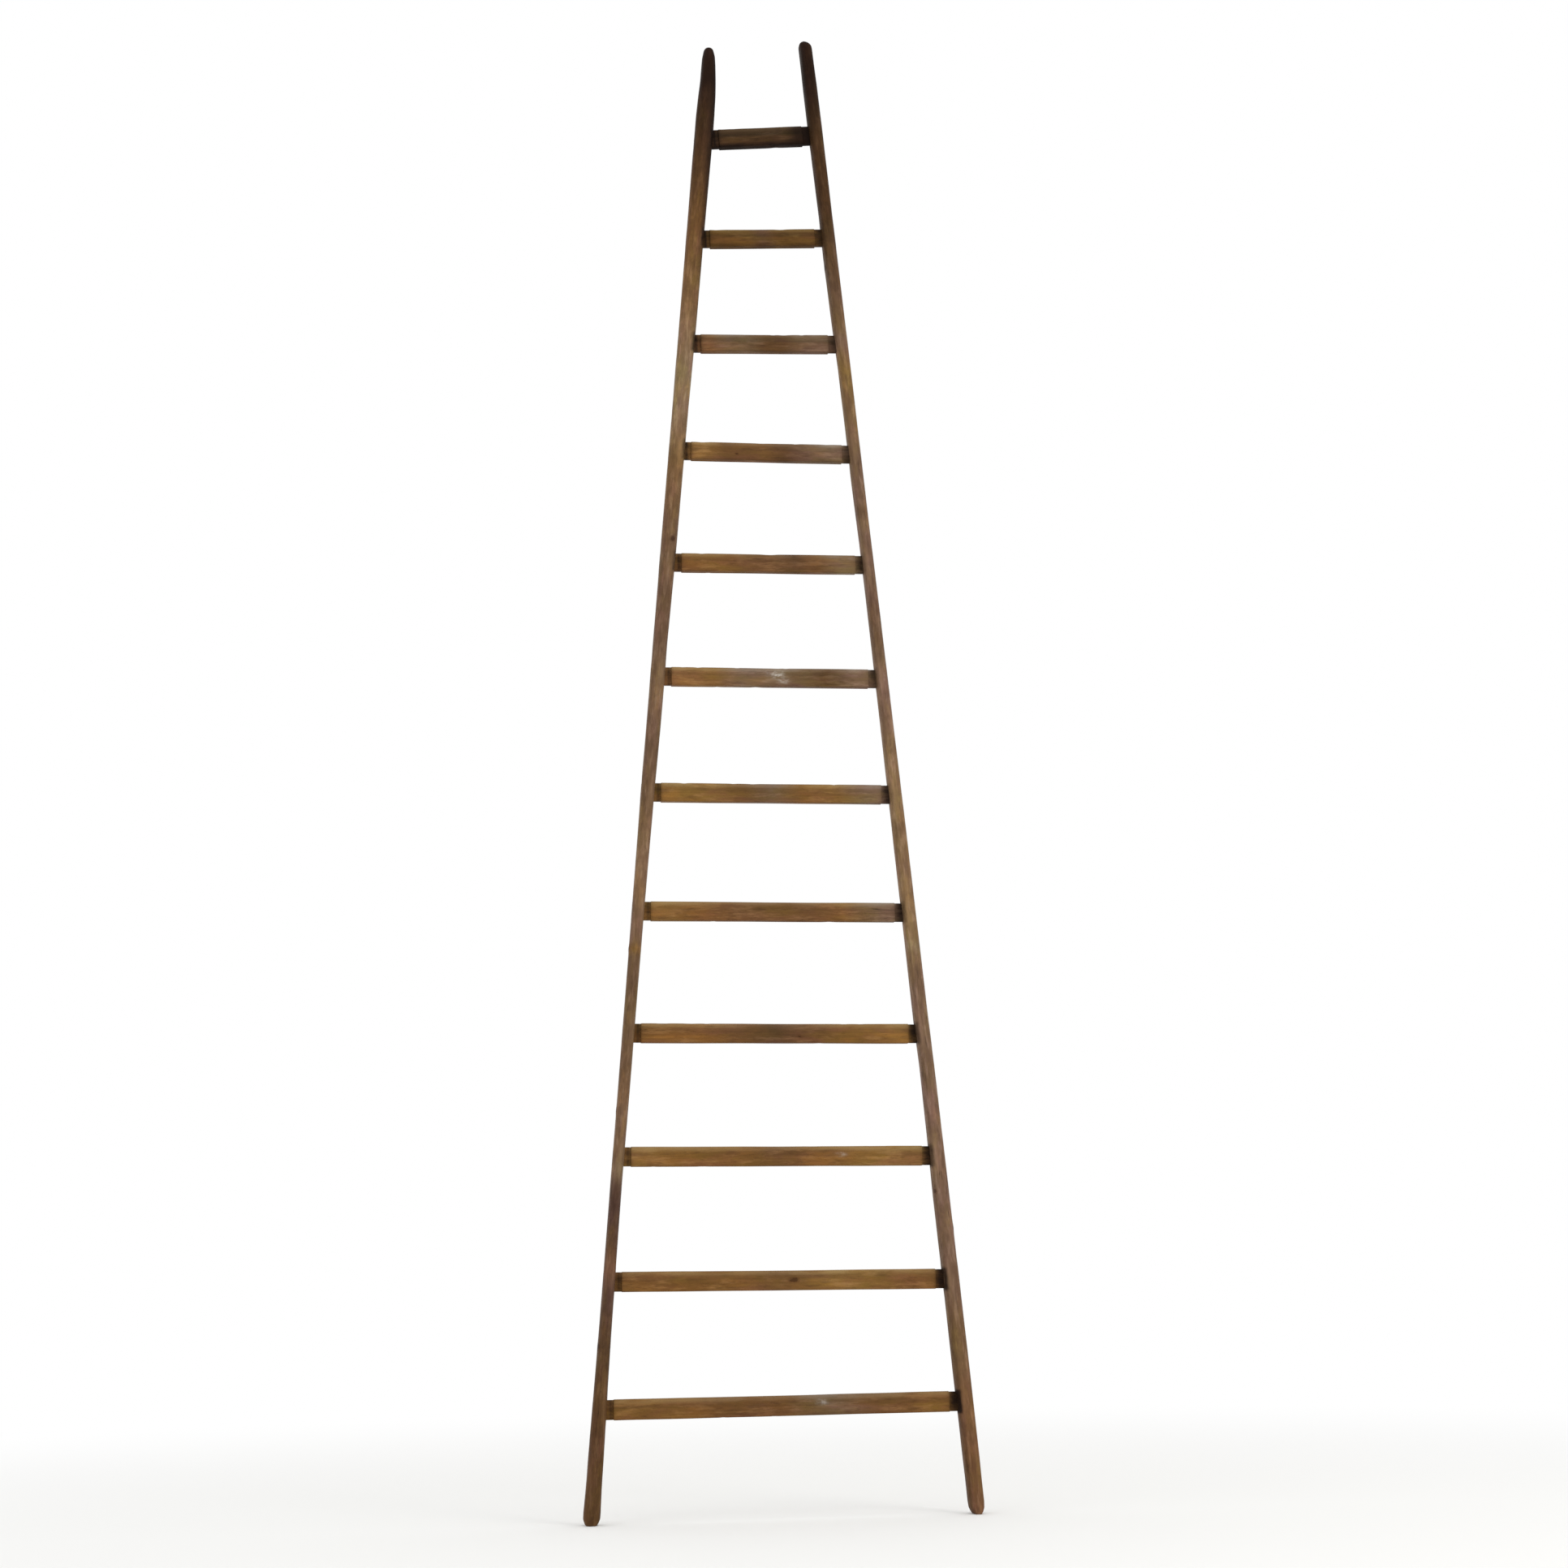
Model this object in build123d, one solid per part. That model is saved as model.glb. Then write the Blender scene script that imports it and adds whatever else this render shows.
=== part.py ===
from build123d import *
import os
from math import cos, radians, sin, tan

# A tall wooden ladder, shaped by hand, that narrows from its feet to its tips: two rails,
# twelve flat rungs with tenons through the rails, a wedge in each tenon and a peg across it.
# X runs across the ladder, Y from its front to its back, and Z up.
# The origin is on the floor, midway between the feet.  All sizes are in millimetres.

# Rails: poles with flat sides and fully rounded fronts and backs, shaved by hand, so that no
# two stretches are alike.
RAIL_DEPTH = 52.0  # front to back
FOOT_ROUND = 3.0  # a foot narrows to a flat that it stands on, with this rounding round it
TIP_ROUND = 10.0
# Stations up each rail: height, distance of the centre line from the middle of the ladder,
# and width seen from the front.
LEFT_RAIL = [
    (0, 430.0, 25.0),
    (5, 429.6, 31.0),
    (12, 429.1, 37.0),
    (20, 428.4, 39.6),
    (100, 422.2, 35.4),
    (200, 414.5, 33.2),
    (300, 406.8, 30.4),
    (400, 398.8, 28.0),
    (550, 386.6, 26.9),
    (750, 370.5, 26.0),
    (900, 357.3, 26.3),
    (1350, 319.0, 28.2),
    (1650, 292.8, 31.7),
    (1800, 278.5, 33.4),
    (1900, 269.4, 34.2),
    (2000, 261.4, 34.2),
    (2200, 242.3, 37.1),
    (2600, 205.8, 38.9),
    (2800, 187.0, 41.4),
    (3000, 169.3, 42.7),
    (3300, 141.6, 46.1),
    (3350, 137.5, 46.0),
    (3405, 132.7, 43.3),
    (3446, 129.5, 39.4),
    (3488, 127.8, 35.6),
    (3508, 127.4, 32.5),
    (3531, 127.4, 22.0),
]
RIGHT_RAIL = [
    (0, 430.0, 19.0),
    (6, 429.6, 26.5),
    (13, 429.1, 32.5),
    (21, 428.5, 35.5),
    (30, 427.8, 36.0),
    (200, 414.2, 36.0),
    (300, 405.4, 37.0),
    (500, 388.7, 36.4),
    (700, 371.4, 36.1),
    (850, 359.4, 33.4),
    (1000, 346.8, 32.5),
    (1100, 336.8, 33.4),
    (1350, 315.4, 31.4),
    (1600, 293.8, 30.4),
    (1800, 276.2, 28.9),
    (2000, 258.8, 27.9),
    (2250, 236.4, 26.7),
    (2400, 222.3, 28.2),
    (2500, 213.4, 28.0),
    (2700, 195.6, 28.9),
    (2800, 185.4, 30.9),
    (3000, 166.5, 33.0),
    (3100, 157.9, 31.6),
    (3350, 134.8, 34.1),
    (3460, 124.9, 34.0),
    (3560, 115.6, 32.5),
]

# Rungs: boards on edge, numbered from the floor up.  They are laid out by eye, about 280 apart.
RUNG_HEIGHTS = [
    244.5,
    518.5,
    795.5,
    1075.0,
    1357.5,
    1638.0,
    1918.0,
    2199.0,
    2478.0,
    2756.5,
    3031.5,
    3299.5,
]
# How many degrees each rung rises towards the right.
RUNG_TILTS = [0, -0.5, -0.5, -0.5, -0.4, -0.3, -0.1, 0.2, 0, 1.3, 2.5, 4.7]
RUNG_COUNT = len(RUNG_HEIGHTS)
RUNG_THICKNESS = 22.0
RUNG_FACE_HEIGHT = 44.6
TOP_RUNG_FACE_HEIGHT = 49.0  # the top rung is cut from a taller board
RUNG_TOP_ROUND = 7.0  # the upper arrises are worn round by feet
RUNG_BOTTOM_ROUND = 3.0

# Joints: each rung has shoulders that stop short of the rails, and a tenon through each rail.
LEFT_NECK = 15.0  # gap between the shoulder and the left rail
RIGHT_NECK = 18.0
TENON_THICKNESS = 12.0
TENON_SET_BACK = 1.0  # the tenon is this much lower than the rung's face, above and below
TENON_PROUD = 0.3  # the tenon's end stands out of the rail's outer side by this hair
MORTISE_GAP = 0.1  # clearance on every side of a tenon, wedge or peg

WEDGE_LENGTH = 18.0
WEDGE_THICK_END = 5.0
WEDGE_THIN_END = 1.5

PEG_RADIUS = 3.5
PEG_RAISE = 11.0  # the pegs pass above the wedges
PEG_COVER = 9.0  # wood left in front of the peg's blind end
PEG_SET_IN = 0.4  # how far the peg's head lies below the back of the rail

LEFT = -1
RIGHT = 1
OVERRUN = 40.0  # how far a cutting bar runs past what it cuts


def stations(side):
    """The stations of the rail on one side."""
    return LEFT_RAIL if side == LEFT else RIGHT_RAIL


def rail_at(side, height):
    """X of a rail's centre line and its width, on straight lines between its stations."""
    for below, above in zip(stations(side), stations(side)[1:]):
        if height <= above[0]:
            break
    share = (height - below[0]) / (above[0] - below[0])
    distance = below[1] + (above[1] - below[1]) * share
    width = below[2] + (above[2] - below[2]) * share
    return side * distance, width


def rail_centre(side, height):
    """X of a rail's centre line at a height."""
    return rail_at(side, height)[0]


def rail_face(side, height, outwards):
    """X of a rail's outer side (outwards 1) or inner side (outwards -1) at a height."""
    centre, width = rail_at(side, height)
    return centre + side * outwards * width / 2


def rung_face_height(number):
    """Height of a rung's front face."""
    return TOP_RUNG_FACE_HEIGHT if number == RUNG_COUNT else RUNG_FACE_HEIGHT


def height_at(number, x):
    """Height of a rung's centre line at a place across the ladder."""
    return RUNG_HEIGHTS[number - 1] + x * tan(radians(RUNG_TILTS[number - 1]))


def end_height(number, side):
    """Height of a rung's centre line where it meets a rail."""
    return height_at(number, rail_centre(side, RUNG_HEIGHTS[number - 1]))


def slab(corners, thickness):
    """A flat plate in the ladder's plane, centred on it, with the given (x, z) corners."""
    outline = make_face(Polyline(*[(x, z) for x, z in corners], close=True))
    return extrude(Plane.XZ * outline, thickness / 2, both=True)


def tenon_bar(number, half_height, thickness, proud):
    """A bar along a rung, from outer side to outer side of the rails, and proud of both."""
    rise = cos(radians(RUNG_TILTS[number - 1]))
    corners = []
    for side, upwards in ((LEFT, -1), (RIGHT, -1), (RIGHT, 1), (LEFT, 1)):
        height = end_height(number, side) + upwards * half_height / rise
        x = rail_face(side, height, 1) + side * proud
        corners.append((x, height_at(number, x) + upwards * half_height / rise))
    return slab(corners, thickness)


def tenon_half_height(number):
    """Half the height of a rung's neck and tenon."""
    return rung_face_height(number) / 2 - TENON_SET_BACK


def wedge(number, side, gap):
    """The wedge in one end of a rung, or with a gap, the slot for it."""
    height = end_height(number, side)
    outer = rail_face(side, height, 1) + side * TENON_PROUD
    inner = outer - side * (WEDGE_LENGTH + gap)
    thick = WEDGE_THICK_END / 2 + gap
    thin = WEDGE_THIN_END / 2 + gap
    if gap:
        outer += side * OVERRUN
        thick += (WEDGE_THICK_END - WEDGE_THIN_END) / 2 * OVERRUN / WEDGE_LENGTH
    corners = [
        (inner, height_at(number, inner) - thin),
        (outer, height_at(number, outer) - thick),
        (outer, height_at(number, outer) + thick),
        (inner, height_at(number, inner) + thin),
    ]
    return slab(corners, TENON_THICKNESS)


def peg(number, side, gap):
    """The peg across one tenon, driven in from the back, or with a gap, the hole for it."""
    height = end_height(number, side) + PEG_RAISE
    head = RAIL_DEPTH / 2 - PEG_SET_IN
    blind_end = PEG_COVER - RAIL_DEPTH / 2
    if gap:
        head += OVERRUN
        blind_end -= gap
    place = Plane((rail_centre(side, height), blind_end, height), z_dir=(0, 1, 0))
    return extrude(place * Circle(PEG_RADIUS + gap), head - blind_end)


def rung(number):
    """One rung: a board on edge with worn arrises, and a thinner tenon at each end."""
    middle = RUNG_HEIGHTS[number - 1]
    left_end = rail_face(LEFT, end_height(number, LEFT), -1) + LEFT_NECK
    right_end = rail_face(RIGHT, end_height(number, RIGHT), -1) - RIGHT_NECK
    tilt = RUNG_TILTS[number - 1]
    length = (right_end - left_end) / cos(radians(tilt))
    centre = (left_end + right_end) / 2
    board = Box(length, RUNG_THICKNESS, rung_face_height(number))
    arrises = board.edges().filter_by(Axis.X).sort_by(Axis.Z)
    board = fillet(arrises[:2], RUNG_BOTTOM_ROUND)
    arrises = board.edges().filter_by(Axis.X).sort_by(Axis.Z)
    board = fillet(arrises[-2:], RUNG_TOP_ROUND)
    board = Pos(centre, 0, height_at(number, centre)) * Rot(0, -tilt, 0) * board
    half_height = tenon_half_height(number)
    whole = board + tenon_bar(number, half_height, TENON_THICKNESS, TENON_PROUD)
    for side in (LEFT, RIGHT):
        whole -= wedge(number, side, MORTISE_GAP)
        whole -= peg(number, side, MORTISE_GAP)
    return whole


def rail(side):
    """One rail: a pole lofted through its stations, with domed ends, mortises and peg holes."""
    sections = []
    for height, distance, width in stations(side):
        place = Plane.XY.offset(height) * Pos(side * distance, 0)
        sections.append(place * Rot(0, 0, 90) * SlotOverall(RAIL_DEPTH, width))
    pole = loft(sections, ruled=True)
    pole = fillet(pole.faces().sort_by(Axis.Z)[0].edges(), FOOT_ROUND)
    pole = fillet(pole.faces().sort_by(Axis.Z)[-1].edges(), TIP_ROUND)
    mortise_thickness = TENON_THICKNESS + 2 * MORTISE_GAP
    cuts = []
    for number in range(1, RUNG_COUNT + 1):
        half_height = tenon_half_height(number) + MORTISE_GAP
        cuts.append(tenon_bar(number, half_height, mortise_thickness, OVERRUN))
        cuts.append(peg(number, side, MORTISE_GAP))
    return pole - cuts


def write(shape, node):
    """Write one sub-part."""
    shape.label = node
    export_step(shape, f"parts/{node}.step")


os.makedirs("parts", exist_ok=True)
for side, word in ((LEFT, "left"), (RIGHT, "right")):
    write(rail(side), f"{word}_rail")
    pegs = [peg(number, side, 0) for number in range(1, RUNG_COUNT + 1)]
    write(Compound(children=pegs), f"{word}_rail_pegs")
for number in range(1, RUNG_COUNT + 1):
    write(rung(number), f"rung_{number:02d}")
    write(wedge(number, LEFT, 0), f"rung_{number:02d}_left_wedge")
    write(wedge(number, RIGHT, 0), f"rung_{number:02d}_right_wedge")
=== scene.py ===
import math
import random

import bpy
import numpy as np
from mathutils import Matrix, Vector, noise
from mathutils.bvhtree import BVHTree


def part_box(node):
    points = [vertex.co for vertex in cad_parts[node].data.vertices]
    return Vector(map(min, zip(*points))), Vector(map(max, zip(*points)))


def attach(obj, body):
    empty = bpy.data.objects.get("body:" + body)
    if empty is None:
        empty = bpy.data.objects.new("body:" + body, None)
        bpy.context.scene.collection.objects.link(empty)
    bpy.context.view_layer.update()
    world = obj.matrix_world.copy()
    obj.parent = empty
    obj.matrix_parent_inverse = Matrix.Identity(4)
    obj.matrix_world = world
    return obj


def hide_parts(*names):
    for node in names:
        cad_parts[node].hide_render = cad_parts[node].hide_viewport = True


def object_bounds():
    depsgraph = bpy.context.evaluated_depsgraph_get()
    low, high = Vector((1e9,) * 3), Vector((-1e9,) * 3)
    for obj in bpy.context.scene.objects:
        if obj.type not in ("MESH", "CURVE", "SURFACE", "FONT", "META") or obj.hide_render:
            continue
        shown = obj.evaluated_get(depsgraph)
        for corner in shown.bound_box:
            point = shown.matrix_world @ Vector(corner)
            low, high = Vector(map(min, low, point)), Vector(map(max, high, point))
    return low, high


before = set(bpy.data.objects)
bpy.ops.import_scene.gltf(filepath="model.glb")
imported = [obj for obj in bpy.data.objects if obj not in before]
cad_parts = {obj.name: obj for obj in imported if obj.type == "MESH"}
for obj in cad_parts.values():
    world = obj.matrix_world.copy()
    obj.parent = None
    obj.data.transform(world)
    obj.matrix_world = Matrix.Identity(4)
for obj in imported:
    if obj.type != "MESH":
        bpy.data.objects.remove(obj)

# The looks of an old hand-made ladder: two shaved rails, twelve flat rungs with necks and
# tenons, wedges in the tenon ends and pegs from the back.  Lengths are in metres, and every
# piece is built around the CAD part that it stands for.
cad_low, cad_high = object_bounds()

FRONT = Vector((0, -1, 0))
MM = 0.001

# Rails
RAIL_AROUND = 44  # points round a section
RAIL_STEP = 4 * MM  # between sections
OVAL_POWER = 2.9  # 2 is an ellipse, and more has flatter sides
END_ZONE = 16 * MM  # the part of each end that is domed
END_RINGS = 10
END_SKIN = 0.05 * MM  # the outline is measured no nearer to an end than this
LONG_CARVING = 1.3 * MM  # slow unevenness of the shaved surface
FACET_CARVING = 0.55 * MM  # long flats left by the drawknife
FINE_CARVING = 0.12 * MM
MEAN_CARVING = 0.8 * MM  # given back in width, so that the outline stays about the CAD's
CENTRING_START, CENTRING_FULL = 60 * MM, 140 * MM  # how far from an end that starts, and is full
END_CARVING = 0.25  # the share of the carving that is left at the very ends
END_CARVING_ZONE = 40 * MM
JOINT_CLEARANCE = 45 * MM  # the carving fades out this near to a joint
FOOT_DEPTH_ZONE = 30 * MM  # the feet narrow from front to back over this height
FOOT_DEPTH_LOSS = 0.06
TIP_DEPTH_ZONE = 45 * MM  # the tips narrow from front to back over this height
TIP_DEPTH_LOSS = 0.2
RIGHT_TIP_SLOPE = 0.22  # the right tip is worn lower on its outer side
RIGHT_TIP_ZONE = 26 * MM
KNOTS_PER_RAIL = 6
KNOTS_ABOVE_FOOT = 0.15
KNOTS_BELOW_TIP = 0.3
KNOT_STRETCH = 1.35  # a knot is longer than it is wide
KNOT_SWELL = 0.9 * MM  # how far a knot stands out
KNOT_SWIRL = 0.6  # how much the grain closes up round a knot
GRAIN_APART = 0.4  # between the rails' places in the noise, so that they differ
PATINA_DRIFT = 30 * MM  # how far the edges of a rail's patinas wander
JOINT_DIRT_AND_SHADE_REACH = 7 * MM  # how far dirt and painted shade reach above and below a mortise
JOINT_WEAR_REACH = 40 * MM

# Rungs
CORNER_POINTS = 6
SIDE_POINTS = 6
RUNG_STEP = 5 * MM
SHOULDER_EASE = 0.9 * MM
TOP_ROUND = 6.5 * MM
BOTTOM_ROUND = 2.8 * MM
TENON_ROUND = 1.2 * MM
TENON_EASE = 0.7 * MM  # how much the arrises of a tenon's end are worn off
TENON_END_ZONE = 8 * MM  # the evenly spaced sections of a tenon start this far from its end
NECK_FADE = 9 * MM  # how far the dirt and painted shade of a neck spread on to the rung
NECK_STRIPE = 6.5 * MM  # how far from its shoulder a left neck is darkest, by dirt and painted shade
HIGH_NECK_STRIPE = 12 * MM  # the same on the high rungs
FIRST_HIGH_RUNG = 9
NECK_STRIPE_WIDTH = 5 * MM
TENON_CLEAN = 12 * MM  # the outer part of a tenon has the colour of the rail, not of a neck
END_GRAIN_DIRT = 0.4  # how dirty that outer part is
BAND_TINT = (1.0, 0.75, 0.4)  # how much of red, green and blue a rung's dark band takes away
TREAD_WEAR = 0.6 * MM  # how deep feet have worn the middle of a rung's top
TREAD_SPREAD = 0.24  # how far that reaches, as a share of the board's length
EDGE_CARVING = 0.45 * MM  # unevenness of a rung's top and bottom
FACE_CARVING = 0.4 * MM
NICK_DEPTH = 0.9 * MM
NICKS_PER_RUNG = 7

# Joints
MORTISE_GAP = 0.25 * MM
CUT_OVERRUN = 30 * MM  # how far a cutter runs past the surface that it opens
BAR_CORNERS = ((-1, -1), (-1, 1), (1, 1), (1, -1))  # (across, height) signs
TENON_SUNK = 0.2 * MM  # how far the end of a tenon lies below the CAD end
WEDGE_SUNK = 0.5 * MM  # how far the broken end of a wedge lies below the CAD end
WEDGE_RINGS = 7
WEDGE_ROUND = 0.3 * MM
WEDGE_BREAK = 0.3 * MM  # the roughness of the broken end
WEDGE_INSET = 0.25 * MM  # how much the arrises of the broken end are crushed
WEDGE_SIDE_GAP = 0.15 * MM
PEGS_APART = 50 * MM  # points further apart in height than this are on different pegs
PEG_SIDES = 12
PEG_CROWN = 0.2 * MM  # how far the domed head of a peg stands out of its CAD end

# Floor
FLOOR_RADIUS = 40.0
FLOOR_SIDES = 96
FLOOR_FADE_START, FLOOR_FADE_END = 0.8, 5.0  # from the ladder, where the floor turns white


def srgb(red, green, blue):
    """A colour given as 0 to 255 on screen, as linear light with alpha."""
    linear = []
    for value in (red, green, blue):
        share = value / 255
        linear.append(share / 12.92 if share <= 0.04045 else ((share + 0.055) / 1.055) ** 2.4)
    return (*linear, 1.0)


def smooth(value, low, high):
    """0 below low, 1 above high, and a smooth step between."""
    share = min(max((value - low) / (high - low), 0.0), 1.0)
    return share * share * (3 - 2 * share)


def bell(value, middle, width):
    """1 at the middle, falling away over a width."""
    return math.exp(-(((value - middle) / width) ** 2))


def rough(x, y, z):
    """Smooth noise, about -1 to 1."""
    return noise.noise(Vector((x, y, z)))


# ---------------------------------------------------------------- reading the CAD parts


def node_points(node):
    """A CAD node's vertices, one row each."""
    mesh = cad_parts[node].data
    points = np.zeros(len(mesh.vertices) * 3)
    mesh.vertices.foreach_get("co", points)
    return points.reshape(-1, 3)


class Rung:
    """Where a CAD rung is: its axis, shoulders, and the sizes of its board and tenons."""

    END_REACH = 5 * MM
    CORNER_LEVEL = 0.6  # what is above this share of the half height is near a corner

    def __init__(self, node):
        points = node_points(node)
        self.node = node
        self.half_thickness = abs(points[:, 1]).max()
        ends = []
        for sign in (1, -1):
            reach = (sign * points[:, 0]).min() + self.END_REACH
            near = points[sign * points[:, 0] < reach]
            self.tenon_half_thickness = abs(near[:, 1]).max()
            ends.append(Vector((near[:, 0].mean(), 0, near[:, 2].mean())))
        self.left_end, right_end = ends
        self.axis = (right_end - self.left_end).normalized()
        self.up = Vector((-self.axis.z, 0, self.axis.x))
        away = points - np.array(self.left_end)
        along = away @ np.array(self.axis)
        height = away @ np.array(self.up)
        self.length = (right_end - self.left_end).length
        board = abs(points[:, 1]) > self.tenon_half_thickness + MM
        self.left_shoulder = along[board].min()
        self.right_shoulder = along[board].max()
        self.half_height = -height[board].min()
        self.tenon_half_height = abs(height[along < self.END_REACH]).max()
        self.left_slant = self.end_slant(along, height)
        self.right_slant = -self.end_slant(self.length - along, height)

    def end_slant(self, along, height):
        """How far the top of an end lies further in than its bottom, for each unit of height."""
        level = self.CORNER_LEVEL * self.tenon_half_height
        top = along[height > level].min()
        bottom = along[height < -level].min()
        return (top - bottom) / (2 * self.tenon_half_height)

    def place(self, along, across, height):
        """A point from its place along the rung, across it (from front to back) and up it."""
        return self.left_end + self.axis * along + self.up * height + Vector((0, across, 0))


def end_steps():
    """Distances from an end of a rail, closer together towards it."""
    return [END_ZONE * (k / END_RINGS) ** 2 for k in range(END_RINGS)]


class Rail:
    """The outline of a CAD rail: its centre and half sizes at any height."""

    SAMPLE_STEP = 12 * MM
    RAY_START = 2.0
    HALF_JOINT = 24 * MM
    CLEAR_OF_JOINT = 12 * MM

    def __init__(self, node, joint_heights):
        self.node = node
        low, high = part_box(node)
        self.low, self.high = low.z, high.z
        self.side = -1 if low.x < 0 else 1
        self.joint_heights = joint_heights
        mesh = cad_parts[node].data
        tree = BVHTree.FromPolygons(
            [v.co for v in mesh.vertices], [tuple(p.vertices) for p in mesh.polygons]
        )
        heights = list(np.arange(END_ZONE, self.high - END_ZONE, self.SAMPLE_STEP))
        heights = [h for h in heights if not self.at_joint(h)]
        ends = [max(step, END_SKIN) for step in end_steps()]
        heights += [self.low + e for e in ends]
        heights += [self.high - e for e in ends]
        self.heights = np.array(sorted(heights))
        rows = [self.measure(tree, h) for h in self.heights]
        self.centres, self.half_widths, self.half_depths = np.array(rows).T

    def at_joint(self, height):
        """Whether a mortise or peg hole is near a height."""
        reach = self.HALF_JOINT + self.CLEAR_OF_JOINT
        return any(abs(height - joint) < reach for joint in self.joint_heights)

    def measure(self, tree, height):
        """Centre, half width and half depth of the CAD rail at one height, by rays."""
        left = tree.ray_cast(Vector((-self.RAY_START, 0, height)), Vector((1, 0, 0)))[0].x
        right = tree.ray_cast(Vector((self.RAY_START, 0, height)), Vector((-1, 0, 0)))[0].x
        if left * right < 0:
            raise ValueError("a ray missed the rail")
        centre = (left + right) / 2
        front = tree.ray_cast(Vector((centre, -self.RAY_START, height)), -FRONT)[0].y
        return centre, abs(right - left) / 2, abs(front)

    def at(self, height):
        """Centre, half width and half depth at a height."""
        return tuple(
            float(np.interp(height, self.heights, row))
            for row in (self.centres, self.half_widths, self.half_depths)
        )


def peg_places(node):
    """Middle, radius, front and back of each peg in a CAD node of several pegs."""
    points = node_points(node)
    points = points[points[:, 2].argsort()]
    breaks = np.where(np.diff(points[:, 2]) > PEGS_APART)[0] + 1
    pegs = []
    for group in np.split(points, breaks):
        low, high = group.min(0), group.max(0)
        centre = (low + high) / 2
        pegs.append((centre[0], centre[2], (high[0] - low[0]) / 2, low[1], high[1]))
    return pegs


# ---------------------------------------------------------------- mesh building


def tube(name, rings):
    """A closed piece from rings of points, with a cap on each end."""
    count, around = len(rings), len(rings[0])
    vertices = [tuple(p) for ring in rings for p in ring]
    faces = [tuple(reversed(range(around)))]
    for i in range(count - 1):
        here, above = i * around, (i + 1) * around
        for k in range(around):
            nxt = (k + 1) % around
            faces.append((here + k, here + nxt, above + nxt, above + k))
    faces.append(tuple((count - 1) * around + k for k in range(around)))
    mesh = bpy.data.meshes.new(name)
    mesh.from_pydata(vertices, [], faces)
    mesh.update()
    piece = bpy.data.objects.new(name, mesh)
    bpy.context.scene.collection.objects.link(piece)
    return piece


def joined(name, pieces):
    """Several pieces as one."""
    mesh = bpy.data.meshes.new(name)
    vertices, faces = [], []
    for piece in pieces:
        start = len(vertices)
        vertices += [tuple(v.co) for v in piece.data.vertices]
        faces += [tuple(start + i for i in p.vertices) for p in piece.data.polygons]
        bpy.data.objects.remove(piece)
    mesh.from_pydata(vertices, [], faces)
    mesh.update()
    whole = bpy.data.objects.new(name, mesh)
    bpy.context.scene.collection.objects.link(whole)
    return whole


def cut(piece, cutters):
    """Takes the cutters out of a piece, and removes them."""
    tool = joined("cutter", cutters)
    modifier = piece.modifiers.new("cut", "BOOLEAN")
    modifier.operation = "DIFFERENCE"
    modifier.solver = "EXACT"
    modifier.object = tool
    graph = bpy.context.evaluated_depsgraph_get()
    mesh = bpy.data.meshes.new_from_object(piece.evaluated_get(graph))
    piece.modifiers.clear()
    old = piece.data
    piece.data = mesh
    bpy.data.meshes.remove(old)
    bpy.data.objects.remove(tool)


def shade(piece, angle=40):
    """Smooth shading, with edges sharper than an angle in degrees kept sharp."""
    mesh = piece.data
    mesh.polygons.foreach_set("use_smooth", [True] * len(mesh.polygons))
    mesh.set_sharp_from_angle(angle=math.radians(angle))


def paint(piece, **layers):
    """Gives each point of a piece the values that its material reads, by name."""
    for name, values in layers.items():
        vector = hasattr(values[0], "__len__")
        kind, key = ("FLOAT_VECTOR", "vector") if vector else ("FLOAT", "value")
        attribute = piece.data.attributes.new(name, kind, "POINT")
        attribute.data.foreach_set(key, np.array(values, np.float32).ravel())


def finish_piece(piece, material, replaced):
    """Material, the CAD node that it stands for, and the body that it rides on."""
    piece.data.materials.clear()
    piece.data.materials.append(material)
    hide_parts(replaced)
    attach(piece, "root")


def bar(rung, across, ends):
    """A square-edged bar along a rung, with a half thickness and an (along, half height) per end."""
    rings = []
    for along, half in ends:
        rings.append([rung.place(along, a * across, h * half) for a, h in BAR_CORNERS])
    return tube("bar", rings)


def tenon_cutter(rung, start, stop):
    """A bar round a rung's tenon, a little bigger than it."""
    across = rung.tenon_half_thickness + MORTISE_GAP
    height = rung.tenon_half_height + MORTISE_GAP
    return bar(rung, across, ((start, height), (stop, height)))


# ---------------------------------------------------------------- knots


class Knot:
    """A knot in a piece: its place along it, its direction round it, and its size."""

    def __init__(self, along, angle, radius):
        self.along, self.angle, self.radius = along, angle, radius

    def nearness(self, along, angle, radius_there):
        """How far into the knot a surface point is, from 0 to 1, and more at its middle."""
        turn = (angle - self.angle + math.pi) % (2 * math.pi) - math.pi
        distance = math.hypot((along - self.along) / KNOT_STRETCH, turn * radius_there)
        return bell(distance, 0, self.radius)


def knots_of(seed, count, low, high):
    """Knots strewn along a piece."""
    dice = random.Random(seed)
    step = (high - low) / count
    knots = []
    for k in range(count):
        along = low + (k + dice.random()) * step
        angle = dice.uniform(0, 2 * math.pi)
        knots.append(Knot(along, angle, dice.uniform(4, 8) * MM))
    return knots


# ---------------------------------------------------------------- rails


def oval(angle, half_width, half_depth):
    """A point on the rail's section: flat sides, round front and back."""
    x, y = math.cos(angle), math.sin(angle)
    power = 2 / OVAL_POWER
    return (
        math.copysign(abs(x) ** power, x) * half_width,
        math.copysign(abs(y) ** power, y) * half_depth,
    )


def rail_ring_heights(rail):
    """Heights of a rail's sections, closer together on the domed ends."""
    ends = end_steps()
    count = int((rail.high - rail.low - 2 * END_ZONE) / RAIL_STEP)
    middle = np.linspace(rail.low + END_ZONE, rail.high - END_ZONE, count)
    return [rail.low + e for e in ends] + list(middle) + [rail.high - e for e in reversed(ends)]


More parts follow.
